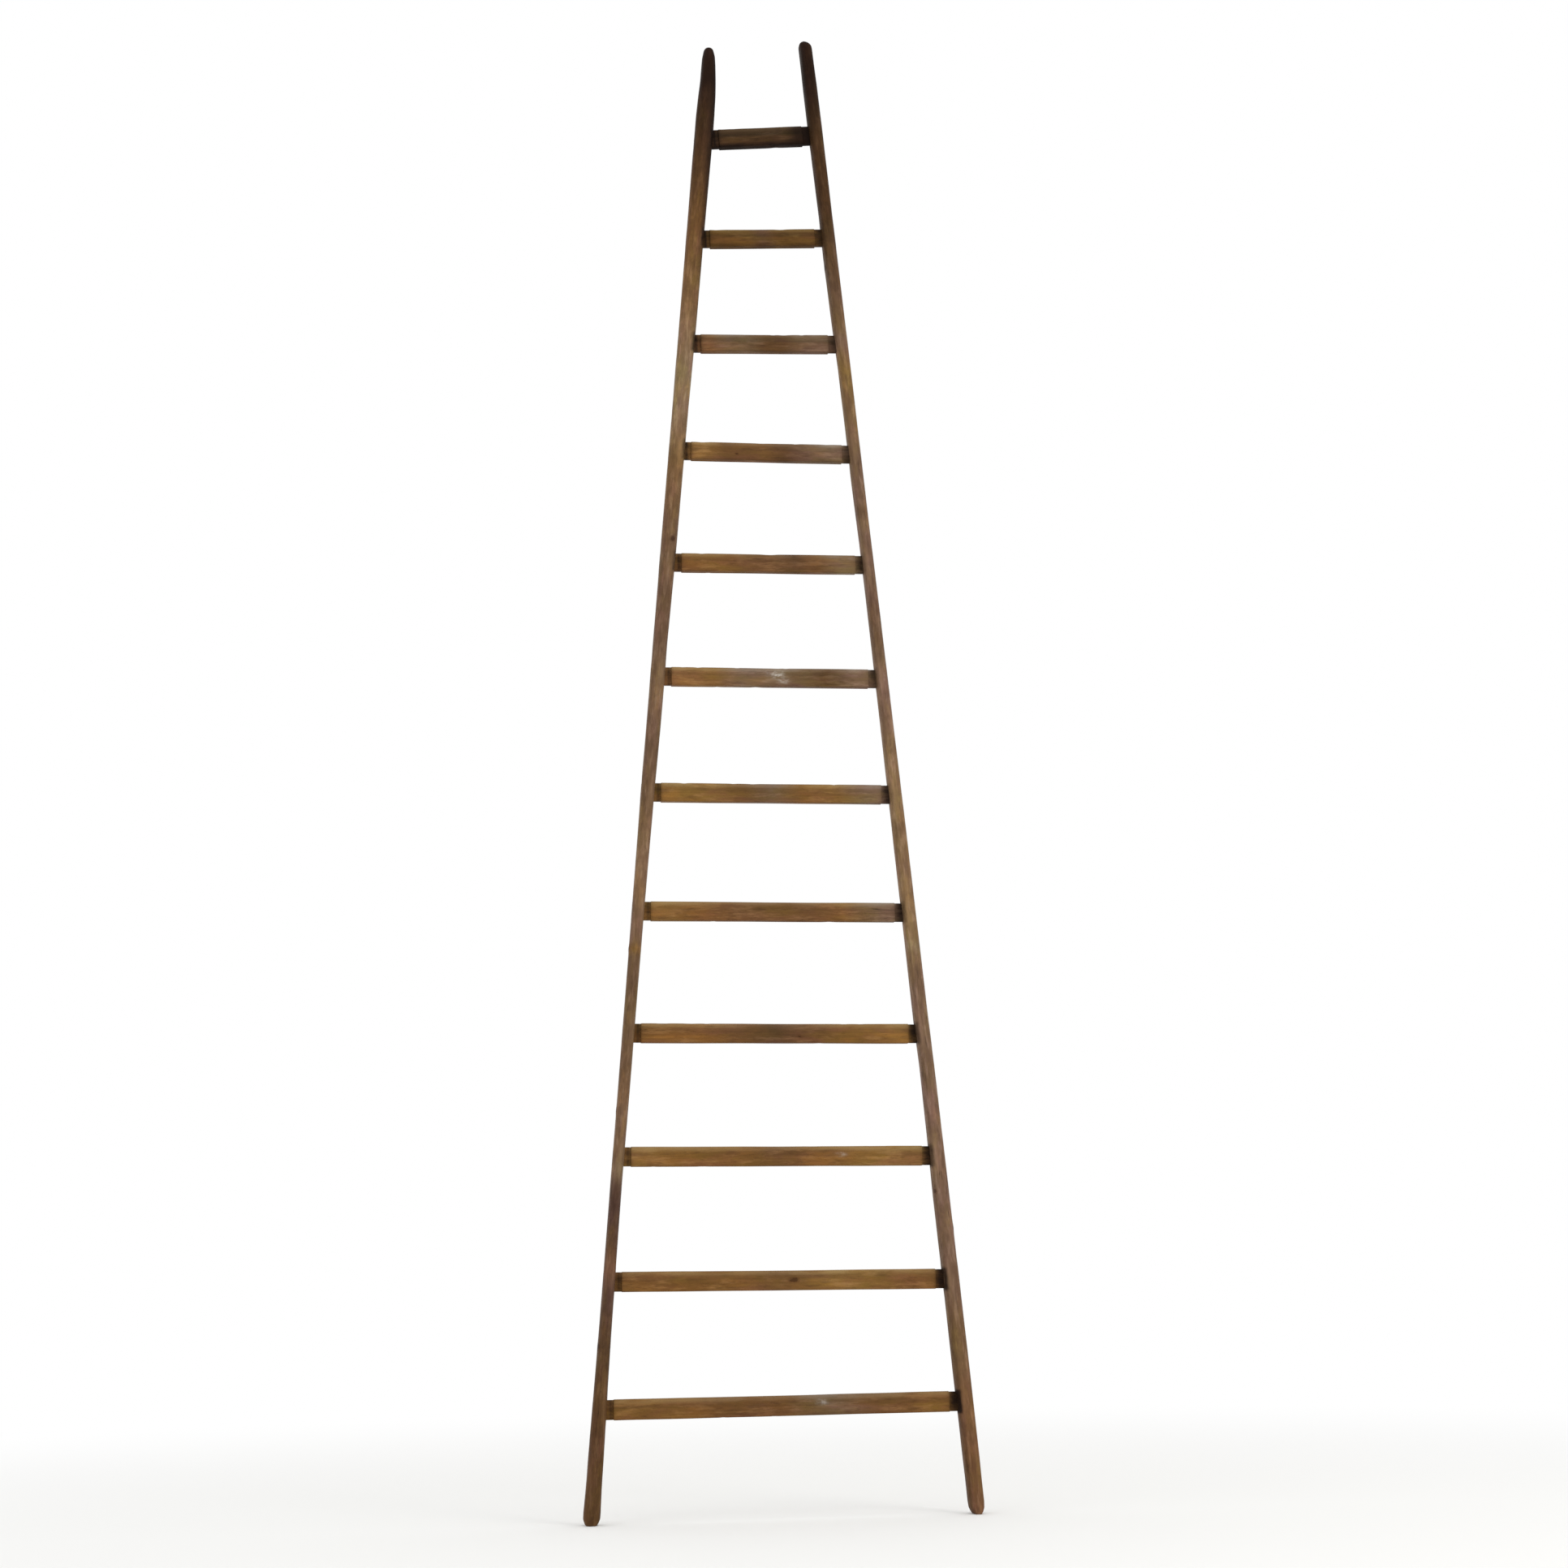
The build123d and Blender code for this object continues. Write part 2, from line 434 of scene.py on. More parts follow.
def rail_carving(angle, height, seed):
    """How far the shaved surface lies inside the rail's even outline."""
    x, y = math.cos(angle), math.sin(angle)
    slow = 0.5 + 0.5 * rough(x * 0.7 + seed, y * 0.7, height * 3.1)
    facet = abs(rough(x * 2.4, y * 2.4 + seed, height * 5.3))
    fine = rough(x * 7, y * 7, height * 45 + seed)
    return LONG_CARVING * slow + FACET_CARVING * facet + FINE_CARVING * fine


def rail_surface(rail, seed, knots):
    """Rings of points on a rail."""
    rings = []
    for height in rail_ring_heights(rail):
        centre, half_width, half_depth = rail.at(height)
        half_depth *= 1 - FOOT_DEPTH_LOSS * (1 - smooth(height, rail.low, FOOT_DEPTH_ZONE)) ** 2
        half_depth *= 1 - TIP_DEPTH_LOSS * smooth(height, rail.high - TIP_DEPTH_ZONE, rail.high) ** 2
        inside = min(height - rail.low, rail.high - height)
        hold = END_CARVING + (1 - END_CARVING) * smooth(inside, 0, END_CARVING_ZONE)
        nearest = min(abs(height - joint) for joint in rail.joint_heights)
        hold *= smooth(nearest, 0.4 * JOINT_CLEARANCE, JOINT_CLEARANCE)
        centring = MEAN_CARVING * hold * smooth(inside, CENTRING_START, CENTRING_FULL)
        ring = []
        for k in range(RAIL_AROUND):
            angle = 2 * math.pi * k / RAIL_AROUND
            x, y = oval(angle, half_width, half_depth)
            depth = rail_carving(angle, height, seed) * hold
            for knot in knots:
                if abs(knot.along - height) < 4 * knot.radius:
                    depth -= KNOT_SWELL * knot.nearness(height, angle, half_width)
            reach = math.hypot(x, y)
            x *= 1 - (depth - centring) / reach
            y *= 1 - max(depth, 0.0) / reach
            ring.append(Vector((centre + x, y, height)))
        rings.append(ring)
    return rings


def slope_tip(rail, rings):
    """Wears the outer side of a tip lower than its inner side."""
    for ring in rings:
        height = ring[0].z
        share = smooth(height, rail.high - RIGHT_TIP_ZONE, rail.high)
        if share == 0:
            continue
        inner = min(p.x * rail.side for p in ring)
        for point in ring:
            point.z -= share * RIGHT_TIP_SLOPE * (point.x * rail.side - inner)


def build_rail(rail, seed, rungs, pegs, looks, material):
    """One rail, with its mortises and peg holes."""
    low, high = rail.low + KNOTS_ABOVE_FOOT, rail.high - KNOTS_BELOW_TIP
    knots = knots_of(seed, KNOTS_PER_RAIL, low, high)
    rings = rail_surface(rail, seed, knots)
    if rail.side == 1:
        slope_tip(rail, rings)
    piece = tube(f"{rail.node}_look", rings)
    cutters = []
    for rung in rungs:
        reach = -CUT_OVERRUN if rail.side == -1 else rung.length / 2
        cutters.append(tenon_cutter(rung, reach, reach + rung.length / 2 + CUT_OVERRUN))
    for x, z, radius, front, back in pegs:
        hole = radius + MORTISE_GAP / 2
        cutters.append(round_bar(x, z, hole, front - MORTISE_GAP, back + CUT_OVERRUN))
    cut(piece, cutters)
    shade(piece)
    paint_rail(piece, rail, rungs, knots, looks)
    finish_piece(piece, material, rail.node)
    return piece


def round_bar(x, z, radius, front, back):
    """A plain round bar from front to back."""
    count = 2 * PEG_SIDES
    turns = [2 * math.pi * k / count for k in reversed(range(count))]
    circle = [(x + radius * math.cos(t), z + radius * math.sin(t)) for t in turns]
    return tube("hole", [[Vector((x, y, z)) for x, z in circle] for y in (front, back)])


def patina_at(names, share):
    """The colour at a share of a piece's length, from names evenly spaced along it."""
    places = [(k + 0.5) / len(names) for k in range(len(names))]
    channels = zip(*(PATINAS[name] for name in names))
    return [float(np.interp(share, places, channel)) for channel in channels]


def marked(colour, marks, place):
    """A colour after the marks near a place, each a (place, reach, patina name, strength)."""
    for where, reach, name, strength in marks:
        share = strength * bell(place, where, reach)
        if share > 0.01:
            colour = [c + (new - c) * share for c, new in zip(colour, PATINAS[name])]
    return colour


def paint_rail(piece, rail, rungs, knots, looks):
    """Grain, patina, dirt and painted shade, wear and knots of a rail."""
    tenon = rungs[0].tenon_half_height
    grain, patina, grime, worn, knotty = [], [], [], [], []
    for vertex in piece.data.vertices:
        p = vertex.co
        centre, half_width, half_depth = rail.at(p.z)
        across = p.x - centre
        angle = math.atan2(p.y / half_depth, across / half_width)
        knot = max(k.nearness(p.z, angle, half_width) for k in knots)
        swirl = 1 + KNOT_SWIRL * knot
        grain.append((across * swirl + rail.side * GRAIN_APART, p.y * swirl, p.z))
        drift = PATINA_DRIFT * rough(across * 30, p.y * 30, p.z * 4)
        colour = patina_at(looks["patinas"], (p.z + drift) / rail.high)
        patina.append(marked(colour, looks["marks"], p.z + 0.3 * drift))
        inner = -across * rail.side / half_width
        # Painted shade on the side of the rail towards the rungs, by height.
        side_shade = float(np.interp(p.z, *zip(*looks["inner_shade"]))) * smooth(inner, 0.0, 0.9)
        # Inside a mortise the rail is painted fully dark: painted shade in the hole.
        in_a_hole = math.hypot(across / half_width, p.y / half_depth) < 0.8
        # Dirt and painted shade beside each joint, on the inner side.
        joint_dirt_and_shade = 0.0
        for joint, dirt_and_shade in zip(rail.joint_heights, looks["joint_dirt_and_shade"]):
            beyond = max(0.0, abs(p.z - joint) - tenon)
            dirt_and_shade *= bell(beyond, 0, JOINT_DIRT_AND_SHADE_REACH) * smooth(inner, 0.25, 0.9)
            joint_dirt_and_shade = max(joint_dirt_and_shade, dirt_and_shade)
        grime.append(1.0 if in_a_hole else max(side_shade, joint_dirt_and_shade))
        near = max(bell(p.z, joint, JOINT_WEAR_REACH) for joint in rail.joint_heights)
        near *= 1 - smooth(p.z, 2.6, 2.9)
        worn.append(0.6 * near * smooth(inner, -0.4, 0.5) * smooth(-p.y / half_depth, -0.1, 0.6))
        knotty.append(knot)
    fleck = [0.0] * len(grain)
    paint(piece, grain=grain, patina=patina, grime=grime, worn=worn, knot=knotty, fleck=fleck)


# ---------------------------------------------------------------- rungs


def section(half_thickness, low, high, low_round, high_round):
    """Points round a board's section, as (across, height), from the lower front corner."""
    corners = [
        (-1, low, low_round, math.pi),
        (1, low, low_round, 1.5 * math.pi),
        (1, high, high_round, 0),
        (-1, high, high_round, 0.5 * math.pi),
    ]
    arcs = []
    for side, edge, radius, start in corners:
        centre_y = side * (half_thickness - radius)
        centre_z = edge + radius if edge == low else edge - radius
        arc = []
        for k in range(CORNER_POINTS):
            angle = start + 0.5 * math.pi * k / (CORNER_POINTS - 1)
            arc.append((centre_y + radius * math.cos(angle), centre_z + radius * math.sin(angle)))
        arcs.append(arc)
    points = []
    for here, there in zip(arcs, arcs[1:] + arcs[:1]):
        points += here
        (y0, z0), (y1, z1) = here[-1], there[0]
        for k in range(1, SIDE_POINTS):
            share = k / SIDE_POINTS
            points.append((y0 + (y1 - y0) * share, z0 + (z1 - z0) * share))
    return points


def rung_nicks(seed, rung):
    """Dents along the arrises of a rung, as (along, across sign, height sign, depth, width)."""
    dice = random.Random(seed)
    return [
        (
            dice.uniform(rung.left_shoulder + 10 * MM, rung.right_shoulder - 10 * MM),
            dice.choice((-1, -1, 1)),
            dice.choice((-1, 1, 1)),
            NICK_DEPTH * dice.uniform(0.4, 1),
            dice.uniform(4, 13) * MM,
        )
        for k in range(NICKS_PER_RUNG)
    ]


def board_point(rung, seed, nicks, along, across, height):
    """A point of a rung's board, moved in by wear, tool marks and dents."""
    share = (along - rung.left_shoulder) / (rung.right_shoulder - rung.left_shoulder)
    middle = 0.5 + 0.08 * rough(seed, 3.1, 0.7)
    upper = smooth(height / rung.half_height, 0.35, 1)
    height -= TREAD_WEAR * bell(share, middle, TREAD_SPREAD) * upper
    height += EDGE_CARVING * rough(along * 9, seed, 1.7 + upper * 8)
    face = FACE_CARVING * (0.5 + 0.5 * rough(along * 7, height * 30, seed + across * 9))
    across -= math.copysign(face, across) * smooth(abs(across) / rung.half_thickness, 0.2, 0.9)
    for where, side, level, depth, width in nicks:
        if abs(along - where) < 3 * width and across * side > 0 and height * level > 0:
            corner = smooth(abs(height) / rung.half_height, 0.75, 1)
            amount = depth * bell(along, where, width) * corner
            height -= level * amount
            across -= side * amount * 0.8
    return across, height


def rung_rings(rung, seed, nicks):
    """Rings of points along a rung: tenon, neck, shoulder, board, and the same again."""
    high, thick, ease = rung.tenon_half_height, rung.tenon_half_thickness, TENON_EASE
    tenon = section(thick, -high, high, TENON_ROUND, TENON_ROUND)
    small_tenon = section(thick - ease, ease - high, high - ease, TENON_ROUND, TENON_ROUND)
    high, thick, trim = rung.half_height, rung.half_thickness, SHOULDER_EASE
    board = section(thick, -high, high, BOTTOM_ROUND, TOP_ROUND)
    eased = section(thick - trim, trim - high, high - trim, BOTTOM_ROUND, TOP_ROUND)

    def ring(along, points, slant=0.0):
        return [rung.place(along + slant * z, y, z) for y, z in points]

    def carved(along):
        moved = [board_point(rung, seed, nicks, along, y, z) for y, z in board]
        return [rung.place(along, y, z) for y, z in moved]

    def neck(start, stop):
        steps = max(2, int(abs(stop - start) / RUNG_STEP))
        return np.linspace(start, stop, steps)

    left, right, length = rung.left_shoulder, rung.right_shoulder, rung.length
    end, past_ease = TENON_SUNK, TENON_SUNK + ease
    rings = [ring(end, small_tenon, rung.left_slant), ring(past_ease, tenon, rung.left_slant)]
    rings += [ring(a, tenon) for a in neck(TENON_END_ZONE, left)]
    rings.append(ring(left, eased))
    count = int((right - left - 2 * trim) / RUNG_STEP)
    rings += [carved(a) for a in np.linspace(left + trim, right - trim, count)]
    rings.append(ring(right, eased))
    rings += [ring(a, tenon) for a in neck(right, length - TENON_END_ZONE)]
    rings.append(ring(length - past_ease, tenon, rung.right_slant))
    rings.append(ring(length - end, small_tenon, rung.right_slant))
    return rings


def build_rung(rung, number, material):
    """One rung with its tenons and the slots for its wedges."""
    seed = number * 7.31
    nicks = rung_nicks(number, rung)
    piece = tube(f"{rung.node}_look", rung_rings(rung, seed, nicks))
    cut(piece, [wedge_bar(rung, side, MORTISE_GAP / 2) for side in ("left", "right")])
    shade(piece)
    paint_rung(piece, rung, number)
    finish_piece(piece, material, rung.node)
    return piece


def neck_grime(rung, number, along):
    """Dirt and painted shade on a rung's necks and beside them: a stripe on the left, and darkest at
    the right rail.
    """
    left = rung.left_shoulder - along
    right = along - rung.right_shoulder
    left_dirt_and_shade, right_dirt_and_shade = LEFT_NECK_DIRT_AND_SHADE[number - 1], RIGHT_NECK_DIRT_AND_SHADE[number - 1]
    if left < 0 and right < 0:
        left_fade = 0.5 * left_dirt_and_shade * math.exp(left / NECK_FADE)
        right_fade = 0.45 * right_dirt_and_shade * math.exp(right / NECK_FADE)
        return max(left_fade, right_fade)
    if left > 0:
        stripe = NECK_STRIPE if number < FIRST_HIGH_RUNG else HIGH_NECK_STRIPE
        return left_dirt_and_shade * (0.4 + 0.6 * bell(left, stripe, NECK_STRIPE_WIDTH))
    return right_dirt_and_shade * (0.42 + 0.58 * smooth(right, 1 * MM, 9 * MM))


def paint_rung(piece, rung, number):
    """Grain, patina, dirt and painted shade, wear and a painted highlight, knots and flecks of a rung.
    """
    body = rung.right_shoulder - rung.left_shoulder
    flecks = FLECKS.get(number, [])
    knots = RUNG_KNOTS.get(number, [])
    names = RUNG_PATINAS[number - 1].split()
    bottom_shade = RUNG_BOTTOM_SHADE[number - 1]
    band_depth = 0.12 + 0.28 * smooth(number, 8, 12)
    grain, patina, grime, worn, knotty, fleck = [], [], [], [], [], []
    for vertex in piece.data.vertices:
        away = vertex.co - rung.left_end
        along, height, across = away.dot(rung.axis), away.dot(rung.up), away.y
        share = (along - rung.left_shoulder) / body
        lift = height / rung.half_height
        knot = max([flat_bell((share - s) * body, height - h * MM, r * MM) for s, h, r in knots] + [0])
        grain.append((height + number * 0.13, across, along + number * 1.7))
        drift = 0.03 * rough(along * 6, height * 60, number)
        colour = patina_at(names, share + drift)
        band = band_depth * bell(lift, 0.28, 0.22)
        patina.append([c * (1 - band * b) for c, b in zip(colour, BAND_TINT)])
        deep = min(along, rung.length - along) < TENON_CLEAN
        if deep:
            looks = LEFT_LOOKS if along < rung.length / 2 else RIGHT_LOOKS
            patina[-1] = patina_at(looks["patinas"], vertex.co.z / cad_high.z)
        # Painted shade on the lower face, strongest on the highest rungs.
        under_shade = max(smooth(-lift, 0.9, 1.0) * 0.25, smooth(-lift, 0.3, 0.95) * bottom_shade)
        # The necks take dirt and painted shade; the outer parts of the tenons take only end-grain
        # dirt.
        grime.append(END_GRAIN_DIRT if deep else max(under_shade, neck_grime(rung, number, along)))
        on_board = rung.left_shoulder - MM < along < rung.right_shoulder + MM
        # The upper part of the board is lighter and bluer: wear and a painted highlight on the top
        # arris.
        worn.append((1.0 if on_board else 0.3) * smooth(lift, 0.35, 0.85))
        knotty.append(knot)
        front = smooth(-across / rung.half_thickness, 0, 0.8)
        spots = [flat_bell((share - s) * body, height - h * MM, r * MM) * f for s, h, r, f in flecks]
        fleck.append(front * max(spots + [0]))
    paint(piece, grain=grain, patina=patina, grime=grime, worn=worn, knot=knotty, fleck=fleck)


def flat_bell(along, height, reach):
    """1 at the middle of a spot that is longer than it is high, falling away round it."""
    return bell(math.hypot(along, height * 2.2), 0, reach)


# ---------------------------------------------------------------- wedges and pegs


def wedge_ends(rung, side):
    """Sizes of a CAD wedge: where its ends are along the rung, and their half heights."""
    points = node_points(f"{rung.node}_{side}_wedge") - np.array(rung.left_end)
    along = points @ np.array(rung.axis)
    height = abs(points @ np.array(rung.up))
    low, high = along.min(), along.max()
    near_low = height[along < (low + high) / 2].max()
    near_high = height[along > (low + high) / 2].max()
    return (low, near_low), (high, near_high)


def wedge_bar(rung, side, gap):
    """The slot for a wedge: as the wedge, a little bigger, and open at its outer end."""
    (low, near_low), (high, near_high) = wedge_ends(rung, side)
    slope = (near_high - near_low) / (high - low)
    if side == "left":
        low, near_low = low - CUT_OVERRUN, near_low - slope * CUT_OVERRUN
    else:
        high, near_high = high + CUT_OVERRUN, near_high + slope * CUT_OVERRUN
    across = rung.tenon_half_thickness + 2 * MM
    return bar(rung, across, ((low, near_low + gap), (high, near_high + gap)))


def build_wedge(rung, number, side, material):
    """One split wedge, with its broken end in the end of the tenon."""
    (low, near_low), (high, near_high) = wedge_ends(rung, side)
    outer_is_high = side == "right"
    across = rung.tenon_half_thickness - WEDGE_SIDE_GAP
    seed = number * 3.7 + (50 if outer_is_high else 0)
    rings = []
    for k in range(WEDGE_RINGS):
        share = k / (WEDGE_RINGS - 1)
        along = low + (high - low) * share
        half = near_low + (near_high - near_low) * share
        outer = share if outer_is_high else 1 - share
        if outer == 1:
            along += -WEDGE_SUNK if outer_is_high else WEDGE_SUNK
        inset = WEDGE_INSET if outer == 1 else 0
        points = section(across - inset, inset - half, half - inset, WEDGE_ROUND, WEDGE_ROUND)
        ring = []
        for y, z in points:
            broken = WEDGE_BREAK * rough(y * 400, z * 400, seed) if outer == 1 else 0
            ring.append(rung.place(along + broken, y, z))
        rings.append(ring)
    piece = tube(f"{rung.node}_{side}_wedge_look", rings)
    shade(piece, angle=35)
    paint_small(piece, rung.axis, seed, grime=0.25)
    finish_piece(piece, material, f"{rung.node}_{side}_wedge")
    return piece


def build_pegs(rail, node, pegs, material):
    """The pegs of one rail: whittled, with domed heads at the back of the rail."""
    pieces = []
    for index, (x, z, radius, front, back) in enumerate(pegs):
        rings = []
        crown = back + PEG_CROWN
        # (place, share of the radius): a blunt point, a straight shank and a domed head
        stations = [(front, 0.7), (front + 1.5 * MM, 0.97), (back - 6 * MM, 0.98)]
        stations += [(back - 1.2 * MM, 0.97), (back - 0.4 * MM, 0.86), (crown, 0.5)]
        for y, scale in stations:
            ring = []
            for k in reversed(range(PEG_SIDES)):
                turn = 2 * math.pi * k / PEG_SIDES + 0.4 * rough(index, x * 10, 0.3)
                reach = radius * scale * (1 - 0.05 * abs(rough(k * 0.9, index * 1.9, x * 9)))
                ring.append(Vector((x + reach * math.cos(turn), y, z + reach * math.sin(turn))))
            rings.append(ring)
        pieces.append(tube("peg", rings))
    piece = joined(f"{node}_look", pieces)
    shade(piece, angle=30)
    paint_small(piece, -FRONT, rail.side * 4.0, grime=0.2)
    finish_piece(piece, material, node)
    return piece


def paint_small(piece, axis, seed, grime):
    """Grain and grime of a wedge or of pegs."""
    grain = []
    side = axis.cross(Vector((0.3, 0.5, 1))).normalized()
    other = axis.cross(side)
    for vertex in piece.data.vertices:
        p = vertex.co
        grain.append((p.dot(side) + seed, p.dot(other), p.dot(axis)))
    none = [0.0] * len(grain)
    patina = [PATINAS["dun"]] * len(grain)
    grime = [grime] * len(grain)
    paint(piece, grain=grain, patina=patina, grime=grime, worn=none, knot=none, fleck=none)


# ---------------------------------------------------------------- materials


class Graph:
    """A material's node tree, with short ways to add nodes."""

    def __init__(self, name):
        self.material = bpy.data.materials.new(name)
        self.material.use_nodes = True
        self.nodes = self.material.node_tree.nodes
        self.links = self.material.node_tree.links
        self.shader = self.nodes["Principled BSDF"]

    def node(self, kind, inputs=(), **settings):
        """A node with its settings, and its inputs linked or set."""
        made = self.nodes.new(kind)
        for key, value in settings.items():
            setattr(made, key, value)
        for key, value in dict(inputs).items():
            if isinstance(value, bpy.types.NodeSocket):
                self.links.new(value, made.inputs[key])
            else:
                made.inputs[key].default_value = value
        return made

    def attribute(self, name, output="Fac"):
        """What paint() stored on the mesh."""
        return self.node("ShaderNodeAttribute", attribute_name=name).outputs[output]

    def vector(self, operation, a, b):
        """One sum on vectors or colours."""
        return self.node("ShaderNodeVectorMath", {0: a, 1: b}, operation=operation).outputs[0]

    def length(self, vector):
        """How long a vector is."""
        made = self.node("ShaderNodeVectorMath", {0: vector}, operation="LENGTH")
        return made.outputs["Value"]

    def offset(self, vector, amount):
        """A place moved, for noise that has nothing to do with the other noises."""
        return self.vector("ADD", vector, (amount, amount, amount))

    def noise(self, vector, across, along, detail=3, roughness=0.55, output="Fac"):
        """Noise with its own scale across and along the grain."""
        scaled = self.vector("MULTIPLY", vector, (across, across, along))
        made = self.node(
            "ShaderNodeTexNoise",
            {"Vector": scaled, "Scale": 1.0, "Detail": detail, "Roughness": roughness},
        )
        return made.outputs[output]

    def math(self, operation, a, b=0.0):
        """One sum on numbers."""
        return self.node("ShaderNodeMath", {0: a, 1: b}, operation=operation).outputs[0]

    def remap(self, value, low, high, new_low=0.0, new_high=1.0):
        """A value's range moved to another, smoothly and with no overshoot."""
        inputs = {0: value, 1: low, 2: high, 3: new_low, 4: new_high}
        return self.node("ShaderNodeMapRange", inputs, interpolation_type="SMOOTHSTEP").outputs[0]

    def mix(self, share, first, second):
        """Two colours mixed."""
        inputs = {0: share, 6: first, 7: second}
        return self.node("ShaderNodeMix", inputs, data_type="RGBA").outputs[2]


def growth_rings(g, place, ring_width, pith):
    """How far into the dark late wood of a growth ring a place is, round a wavy pith."""
    warp = g.noise(place, 16, 1.5, 2, output="Color")
    bend = g.vector("SUBTRACT", warp, (0.5, 0.5, 0.5))
    bend = g.vector("MULTIPLY", bend, (0.02, 0.02, 0))
    from_pith = g.vector("ADD", g.vector("ADD", place, bend), pith)
    radius = g.length(g.vector("MULTIPLY", from_pith, (1, 1, 0)))
    ring = g.math("FRACT", g.math("MULTIPLY", radius, 1 / ring_width))
    return g.remap(ring, 0.45, 0.95)


def drying_checks(g, place):
    """Thin cracks along the grain, in some places only."""
    line = g.noise(place, 85, 2.2, 2)
    gap = g.math("ABSOLUTE", g.math("SUBTRACT", line, 0.5))
    where = g.remap(g.noise(place, 14, 5, 2), 0.56, 0.68)
    return g.math("MULTIPLY", g.remap(gap, 0.002, 0.006, 1, 0), where)


def wood(
    name,
    ring_width=3.2 * MM,
    pith=(0.035, 0.022, 0.0),
    worn_tint=(1.22, 1.2, 1.18),
    patch_share=0.62,
    dapple_share=0.42,
):
    """Old waxed wood: growth rings, fibres, pores, checks, patina, wear and painted highlight, dirt
    and painted shade, and knots.
    """
    g = Graph(name)
    place = g.attribute("grain", "Vector")
    patina = g.attribute("patina", "Vector")
    grime_here = g.attribute("grime")
    worn_here = g.attribute("worn")
    knot = g.attribute("knot")
    fleck_here = g.attribute("fleck")

    def tinted(tint):
        return g.vector("MULTIPLY", patina, tint)

    def layer(colour, mask, share, tint):
        return g.mix(g.math("MULTIPLY", mask, share), colour, tinted(tint))

    # Where each feature is, from 0 to 1.  Noise has a scale across the grain and one along it.
    late = growth_rings(g, place, ring_width, pith)
    check = drying_checks(g, place)
    hue = g.remap(g.noise(place, 30, 9, 3, 0.6), 0.36, 0.64)
    golden = g.remap(g.noise(g.offset(place, 3.7), 22, 7, 3, 0.6), 0.48, 0.66)
    streak = g.remap(g.noise(place, 210, 3.2, 4), 0.36, 0.68)
    fibre = g.noise(place, 1300, 26, 3)
    pores = g.remap(g.noise(place, 2400, 70, 2), 0.6, 0.72)
    patch = g.remap(g.noise(place, 34, 10, 3, 0.55), 0.36, 0.64)
    dapple = g.remap(g.noise(g.offset(place, 6.1), 62, 38, 3, 0.6), 0.42, 0.58)
    bloom = g.remap(g.noise(g.offset(place, 9.1), 95, 17, 4, 0.6), 0.48, 0.72)
    blotch = g.remap(g.noise(g.offset(place, 5.3), 100, 19, 4, 0.6), 0.5, 0.72)
    speck = g.remap(g.noise(g.offset(place, 7.9), 300, 70, 3, 0.6), 0.56, 0.74)

    # The colour: the patina, lighter by what the dapples take away, then one layer on another.
    lift = 1 + 0.25 * dapple_share
    rosy = tinted((1.1 * lift, 0.96 * lift, 1.2 * lift))
    yellow = tinted((lift, 1.06 * lift, 0.74 * lift))
    colour = g.mix(hue, rosy, yellow)
    colour = layer(colour, golden, 0.7, (1.36, 1.22, 0.84))
    colour = layer(colour, patch, patch_share, (0.66, 0.62, 0.62))
    colour = layer(colour, dapple, dapple_share, (0.56, 0.53, 0.55))
    colour = layer(colour, late, 0.3, (0.6, 0.56, 0.5))
    colour = layer(colour, streak, 0.4, (0.6, 0.54, 0.48))
    colour = layer(colour, bloom, 0.65, (1.5, 1.55, 1.75))
    colour = layer(colour, g.remap(fibre, 0.35, 0.75), 0.22, (0.45, 0.4, 0.36))
    colour = layer(colour, pores, 0.45, (0.34, 0.3, 0.28))
    colour = layer(colour, blotch, 0.6, (0.46, 0.41, 0.41))
    colour = layer(colour, speck, 0.35, (0.5, 0.46, 0.44))
    # Wear lightens the colour; on the rungs this layer is also a painted highlight along the top.
    worn = g.math("MULTIPLY", worn_here, g.remap(g.noise(place, 60, 14, 3), 0.3, 0.6, 0.3, 1))
    colour = layer(colour, worn, 0.85, worn_tint)
    knot_edge = g.remap(g.noise(place, 420, 160, 3, 0.6), 0.25, 0.75, -0.14, 0.14)
    knot_level = g.math("ADD", knot, g.math("MULTIPLY", knot_edge, g.remap(knot, 0.0, 0.2)))
    colour = layer(colour, g.remap(knot_level, 0.12, 0.6), 0.5, (0.6, 0.5, 0.42))
    colour = layer(colour, g.remap(knot_level, 0.5, 0.72), 0.85, (0.3, 0.24, 0.2))
    # Dirt and painted shade darken the colour towards a near-black brown.
    grime_edge = g.remap(g.noise(place, 90, 40, 4, 0.6), 0.25, 0.75, -0.2, 0.2)
    grime_level = g.math("ADD", grime_here, g.math("MULTIPLY", grime_edge, grime_here))
    grime = g.remap(grime_level, 0.0, 1.1)
    colour = g.mix(g.math("MULTIPLY", grime, 0.97), colour, GRIME_AND_SHADE)
    colour = g.mix(g.math("MULTIPLY", check, 0.55), colour, GRIME_AND_SHADE)
    scuff = g.remap(g.noise(place, 150, 70, 5, 0.7), 0.38, 0.62, 0.15, 1)
    fleck = g.math("MULTIPLY", fleck_here, scuff)
    colour = g.mix(fleck, colour, FLECK)

